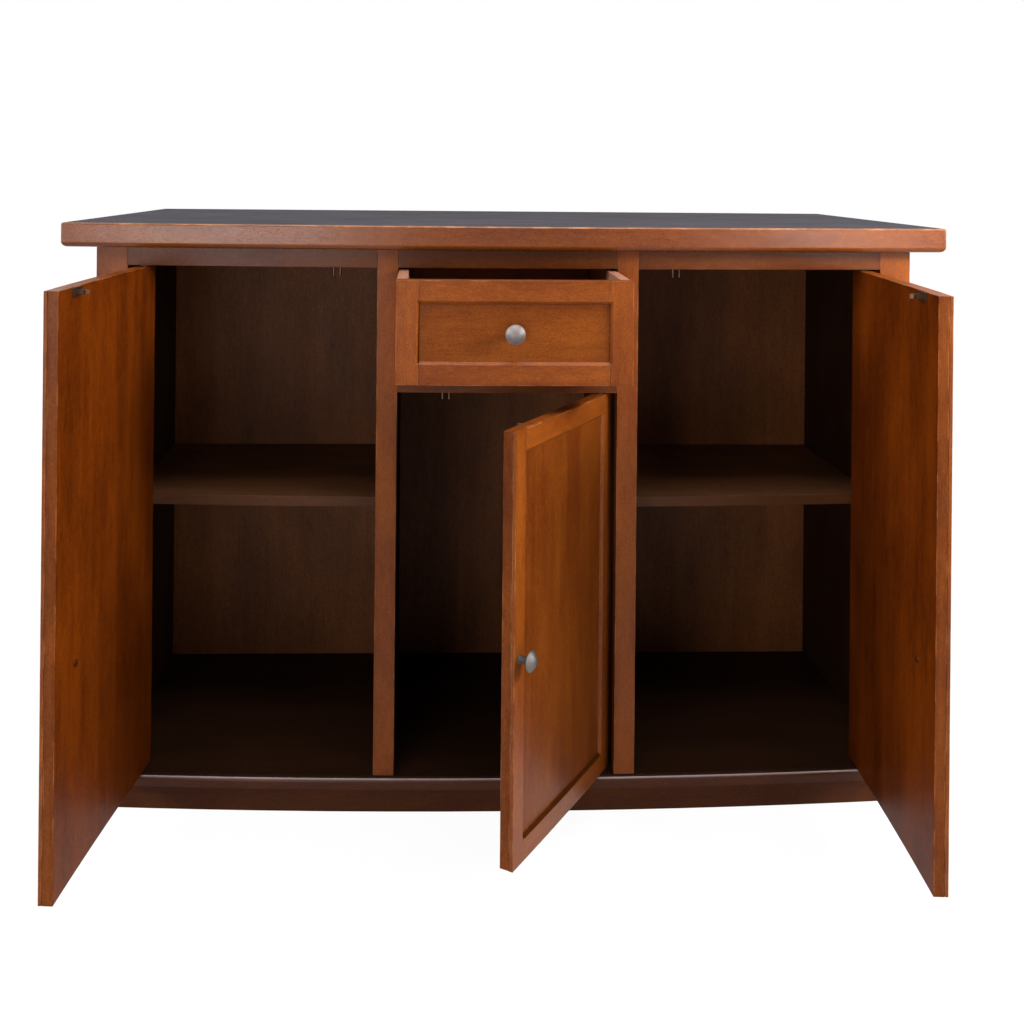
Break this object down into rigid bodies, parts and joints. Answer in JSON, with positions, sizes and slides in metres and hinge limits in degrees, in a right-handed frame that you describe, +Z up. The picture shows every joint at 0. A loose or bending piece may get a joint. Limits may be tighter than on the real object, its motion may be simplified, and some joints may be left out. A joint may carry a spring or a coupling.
{
  "type": "buffet cabinet",
  "caption": "Bow-front wooden buffet cabinet with inset pivoting doors, a pull-out drawer, shelves in the side bays and an overhanging top.",
  "frame": {"origin": "on the floor under the middle of the carcass, at the bottom face of the plinth bearer", "axes": "+Z up, front faces -Y, +X to the right of someone who faces the cabinet"},
  "size_m": [1.3192, 0.7886, 0.872],
  "materials": {
    "cherry_polished": "polished reddish brown lacquer",
    "cherry_inside": "satin stained veneer",
    "satin_nickel": "satin nickel plate",
    "plated_steel": "bright zinc plate"
  },
  "bodies": {
    "carcass": {"top_slab": "cherry_polished", "side_panel_left": "cherry_polished", "side_panel_right": "cherry_polished", "outer_stile_left": "cherry_polished", "outer_stile_right": "cherry_polished", "mid_stile_left": "cherry_polished", "mid_stile_right": "cherry_polished", "top_rail_left": "cherry_polished", "top_rail_centre": "cherry_polished", "top_rail_right": "cherry_polished", "drawer_rail": "cherry_polished", "bottom_panel": "cherry_polished", "plinth_front": "cherry_polished", "plinth_ends": "cherry_polished", "plinth_back": "cherry_polished", "plinth_bearer": "cherry_polished", "partition_left": "cherry_inside", "partition_right": "cherry_inside", "back_panel": "cherry_inside", "top_stretcher": "cherry_inside", "shelf_left": "cherry_inside", "shelf_right": "cherry_inside", "shelf_pins": "plated_steel", "drawer_runners": "cherry_inside", "door_catches": "plated_steel", "pivot_sockets": "plated_steel"},
    "drawer": {"drawer_front_panel": "cherry_polished", "drawer_front_stiles": "cherry_polished", "drawer_front_rails": "cherry_polished", "drawer_side_left": "cherry_inside", "drawer_side_right": "cherry_inside", "drawer_back": "cherry_inside", "drawer_bottom": "cherry_inside", "drawer_knob": "satin_nickel", "drawer_knob_screw": "plated_steel"},
    "left_door": {"door_left_panel": "cherry_polished", "door_left_stiles": "cherry_polished", "door_left_rails": "cherry_polished", "door_left_knob": "satin_nickel", "door_left_knob_screw": "plated_steel", "door_left_strike": "plated_steel", "door_left_pivots": "plated_steel"},
    "right_door": {"door_right_panel": "cherry_polished", "door_right_stiles": "cherry_polished", "door_right_rails": "cherry_polished", "door_right_knob": "satin_nickel", "door_right_knob_screw": "plated_steel", "door_right_strike": "plated_steel", "door_right_pivots": "plated_steel"},
    "centre_door": {"door_centre_panel": "cherry_polished", "door_centre_stiles": "cherry_polished", "door_centre_rails": "cherry_polished", "door_centre_knob": "satin_nickel", "door_centre_knob_screw": "plated_steel", "door_centre_strike": "plated_steel", "door_centre_pivots": "plated_steel"}
  },
  "joints": [
    {"name": "drawer_slide", "type": "slide", "parent": "carcass", "child": "drawer", "axis": [0, -1, 0], "range_m": [-0.16, 0.11]},
    {"name": "left_door_hinge", "type": "hinge", "parent": "carcass", "child": "left_door", "pos_m": [-0.5435, -0.21568, 0.431], "axis": [0, 0, -1], "range_deg": [-92.9, 22.1]},
    {"name": "right_door_hinge", "type": "hinge", "parent": "carcass", "child": "right_door", "pos_m": [0.5435, -0.21568, 0.431], "axis": [0, 0, 1], "range_deg": [-84.8, 30.2]},
    {"name": "centre_door_hinge", "type": "hinge", "parent": "carcass", "child": "centre_door", "pos_m": [0.1405, -0.23324, 0.3385], "axis": [0, 0, 1], "range_deg": [-59.9, 40.1]}
  ]
}
